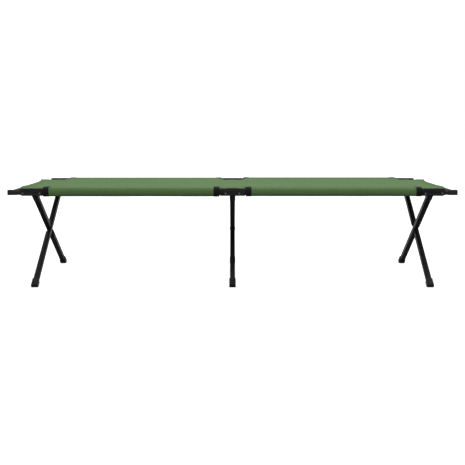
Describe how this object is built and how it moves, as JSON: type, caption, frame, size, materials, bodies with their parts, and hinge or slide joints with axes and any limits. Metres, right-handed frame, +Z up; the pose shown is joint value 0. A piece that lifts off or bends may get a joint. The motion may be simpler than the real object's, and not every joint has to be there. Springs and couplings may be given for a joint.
{
  "type": "folding cot",
  "caption": "Folding camp cot: green fabric bed on two side rails that fold at the middle, crossed tube legs and pull-off end bars.",
  "frame": {"origin": "middle of the cot's footprint, on the floor", "axes": "+X along the cot to its right end seen from the front, +Y from the front side to the rear, +Z up"},
  "size_m": [1.9, 0.6756, 0.4265],
  "materials": {
    "black_tube": "satin black powder coat on steel tube",
    "bracket_steel": "satin black paint on pressed steel",
    "cap_steel": "satin black paint on steel",
    "fasteners": "dark zinc plate, satin",
    "black_plastic": "fine moulded grain, matte",
    "green_fabric": "coated plain-weave cloth, low sheen"
  },
  "bodies": {
    "front_bracket": {"front_fold_bracket": "bracket_steel", "front_fold_pins": "fasteners", "front_centre_hinge_pin": "fasteners"},
    "rear_bracket": {"rear_fold_bracket": "bracket_steel", "rear_fold_pins": "fasteners", "rear_centre_hinge_pin": "fasteners"},
    "front_left_half": {"front_left_rail": "black_tube", "front_left_saddle": "bracket_steel", "front_left_saddle_rivets": "fasteners", "front_left_hinge_pin": "fasteners", "front_left_sleeve": "green_fabric", "left_deck": "green_fabric"},
    "rear_left_half": {"rear_left_rail": "black_tube", "rear_left_saddle": "bracket_steel", "rear_left_saddle_rivets": "fasteners", "rear_left_hinge_pin": "fasteners", "rear_left_sleeve": "green_fabric"},
    "left_bar_assembly": {"left_end_bar": "black_tube", "left_bar_corners": "black_plastic"},
    "front_right_half": {"front_right_rail": "black_tube", "front_right_saddle": "bracket_steel", "front_right_saddle_rivets": "fasteners", "front_right_hinge_pin": "fasteners", "front_right_sleeve": "green_fabric", "right_deck": "green_fabric"},
    "rear_right_half": {"rear_right_rail": "black_tube", "rear_right_saddle": "bracket_steel", "rear_right_saddle_rivets": "fasteners", "rear_right_hinge_pin": "fasteners", "rear_right_sleeve": "green_fabric"},
    "right_bar_assembly": {"right_end_bar": "black_tube", "right_bar_corners": "black_plastic"},
    "left_leg_a_assembly": {"left_leg_a": "black_tube", "left_top_cap_a": "cap_steel", "left_cap_rivets_a": "fasteners", "left_foot_a": "black_plastic", "left_cross_pivot": "fasteners"},
    "left_leg_b_assembly": {"left_leg_b": "black_tube", "left_top_cap_b": "cap_steel", "left_cap_rivets_b": "fasteners", "left_foot_b": "black_plastic"},
    "centre_leg_a_assembly": {"centre_leg_a": "black_tube", "centre_top_cap_a": "cap_steel", "centre_cap_rivets_a": "fasteners", "centre_foot_a": "black_plastic", "centre_cross_pivot": "fasteners"},
    "centre_leg_b_assembly": {"centre_leg_b": "black_tube", "centre_top_cap_b": "cap_steel", "centre_cap_rivets_b": "fasteners", "centre_foot_b": "black_plastic"},
    "right_leg_a_assembly": {"right_leg_a": "black_tube", "right_top_cap_a": "cap_steel", "right_cap_rivets_a": "fasteners", "right_foot_a": "black_plastic", "right_cross_pivot": "fasteners"},
    "right_leg_b_assembly": {"right_leg_b": "black_tube", "right_top_cap_b": "cap_steel", "right_cap_rivets_b": "fasteners", "right_foot_b": "black_plastic"}
  },
  "joints": [
    {"name": "frame_close", "type": "hinge", "parent": "front_bracket", "child": "centre_leg_a_assembly", "pos_m": [0, -0.302, 0.4053], "axis": [-1, 0, 0], "range_deg": [0, 42], "deforming": ["left_deck", "right_deck"]},
    {"name": "centre_cross", "type": "hinge", "parent": "centre_leg_a_assembly", "child": "centre_leg_b_assembly", "pos_m": [0, 0, 0.21199], "axis": [1, 0, 0], "range_deg": [0, 84]},
    {"name": "rear_bracket_hinge", "type": "hinge", "parent": "centre_leg_b_assembly", "child": "rear_bracket", "pos_m": [0, 0.302, 0.4053], "axis": [-1, 0, 0], "range_deg": [0, 42]},
    {"name": "left_fold", "type": "hinge", "parent": "front_bracket", "child": "front_left_half", "pos_m": [-0.029, -0.323, 0.402], "axis": [0, 1, 0], "range_deg": [0, 90]},
    {"name": "rear_left_fold", "type": "hinge", "parent": "rear_bracket", "child": "rear_left_half", "pos_m": [-0.029, 0.323, 0.402], "axis": [0, 1, 0], "range_deg": [0, 90]},
    {"name": "left_leg_hinge", "type": "hinge", "parent": "front_left_half", "child": "left_leg_a_assembly", "pos_m": [-0.844, -0.302, 0.4053], "axis": [-1, 0, 0], "range_deg": [0, 42]},
    {"name": "left_cross", "type": "hinge", "parent": "left_leg_a_assembly", "child": "left_leg_b_assembly", "pos_m": [-0.844, 0, 0.21199], "axis": [1, 0, 0], "range_deg": [0, 84]},
    {"name": "left_bar_pull", "type": "slide", "parent": "front_left_half", "child": "left_bar_assembly", "axis": [-0.8724, -0.4888, 0], "range_m": [0, 0.29]},
    {"name": "right_fold", "type": "hinge", "parent": "front_bracket", "child": "front_right_half", "pos_m": [0.029, -0.323, 0.402], "axis": [0, -1, 0], "range_deg": [0, 90]},
    {"name": "rear_right_fold", "type": "hinge", "parent": "rear_bracket", "child": "rear_right_half", "pos_m": [0.029, 0.323, 0.402], "axis": [0, -1, 0], "range_deg": [0, 90]},
    {"name": "right_leg_hinge", "type": "hinge", "parent": "front_right_half", "child": "right_leg_a_assembly", "pos_m": [0.844, -0.302, 0.4053], "axis": [-1, 0, 0], "range_deg": [0, 42]},
    {"name": "right_cross", "type": "hinge", "parent": "right_leg_a_assembly", "child": "right_leg_b_assembly", "pos_m": [0.844, 0, 0.21199], "axis": [1, 0, 0], "range_deg": [0, 84]},
    {"name": "right_bar_pull", "type": "slide", "parent": "front_right_half", "child": "right_bar_assembly", "axis": [0.8724, -0.4888, 0], "range_m": [0, 0.29]}
  ],
  "couplings": [
    {"joint": "centre_cross", "follows": "frame_close", "ratio": 2},
    {"joint": "rear_bracket_hinge", "follows": "frame_close", "ratio": 1},
    {"joint": "rear_left_fold", "follows": "left_fold", "ratio": 1},
    {"joint": "left_leg_hinge", "follows": "frame_close", "ratio": 1},
    {"joint": "left_cross", "follows": "frame_close", "ratio": 2},
    {"joint": "left_bar_pull", "follows": "frame_close", "m_per_rad": 0.39546},
    {"joint": "rear_right_fold", "follows": "right_fold", "ratio": 1},
    {"joint": "right_leg_hinge", "follows": "frame_close", "ratio": 1},
    {"joint": "right_cross", "follows": "frame_close", "ratio": 2},
    {"joint": "right_bar_pull", "follows": "frame_close", "m_per_rad": 0.39546}
  ]
}
